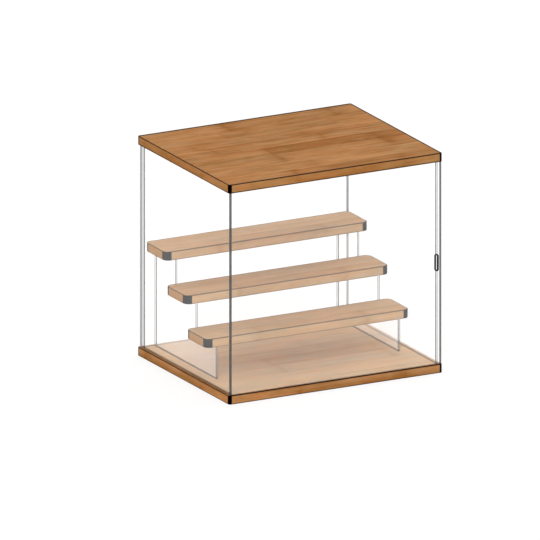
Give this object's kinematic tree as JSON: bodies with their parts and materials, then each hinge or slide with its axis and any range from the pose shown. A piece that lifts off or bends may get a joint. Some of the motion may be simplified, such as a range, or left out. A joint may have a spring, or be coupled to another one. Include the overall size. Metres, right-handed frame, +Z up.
{
  "type": "acrylic display case",
  "caption": "Table-top display case: clear acrylic walls between a wooden base and top, a front sheet that slides open sideways, and a stepped riser with wooden shelves.",
  "frame": {"origin": "centre of the underside of the base", "axes": "+X to the right along the front, +Y from the front to the rear, +Z up"},
  "size_m": [0.32, 0.26, 0.304],
  "materials": {
    "wood": "satin lacquer",
    "acrylic": "clear, polished",
    "black_plastic": "matt"
  },
  "bodies": {
    "case": {"base_board": "wood", "base_corner_front_left": "black_plastic", "base_corner_front_right": "black_plastic", "base_corner_rear_left": "black_plastic", "base_corner_rear_right": "black_plastic", "left_wall": "acrylic", "rear_wall": "acrylic", "right_wall": "acrylic", "top_board": "wood", "top_corner_front_left": "black_plastic", "top_corner_front_right": "black_plastic", "top_corner_rear_left": "black_plastic", "top_corner_rear_right": "black_plastic"},
    "door": {"door_pull_liner": "black_plastic", "sliding_door": "acrylic"},
    "riser": {"left_riser_plate": "acrylic", "lower_shelf": "wood", "lower_shelf_corner_front_left": "black_plastic", "lower_shelf_corner_front_right": "black_plastic", "lower_shelf_corner_rear_left": "black_plastic", "lower_shelf_corner_rear_right": "black_plastic", "middle_shelf": "wood", "middle_shelf_corner_front_left": "black_plastic", "middle_shelf_corner_front_right": "black_plastic", "middle_shelf_corner_rear_left": "black_plastic", "middle_shelf_corner_rear_right": "black_plastic", "right_riser_plate": "acrylic", "upper_shelf": "wood", "upper_shelf_corner_front_left": "black_plastic", "upper_shelf_corner_front_right": "black_plastic", "upper_shelf_corner_rear_left": "black_plastic", "upper_shelf_corner_rear_right": "black_plastic"}
  },
  "joints": [
    {"name": "door_slide", "type": "slide", "parent": "case", "child": "door", "axis": [1, 0, 0], "range_m": [0, 0.3]},
    {"name": "riser_slide", "type": "slide", "parent": "case", "child": "riser", "axis": [0, -1, 0], "range_m": [0, 0.072]}
  ]
}
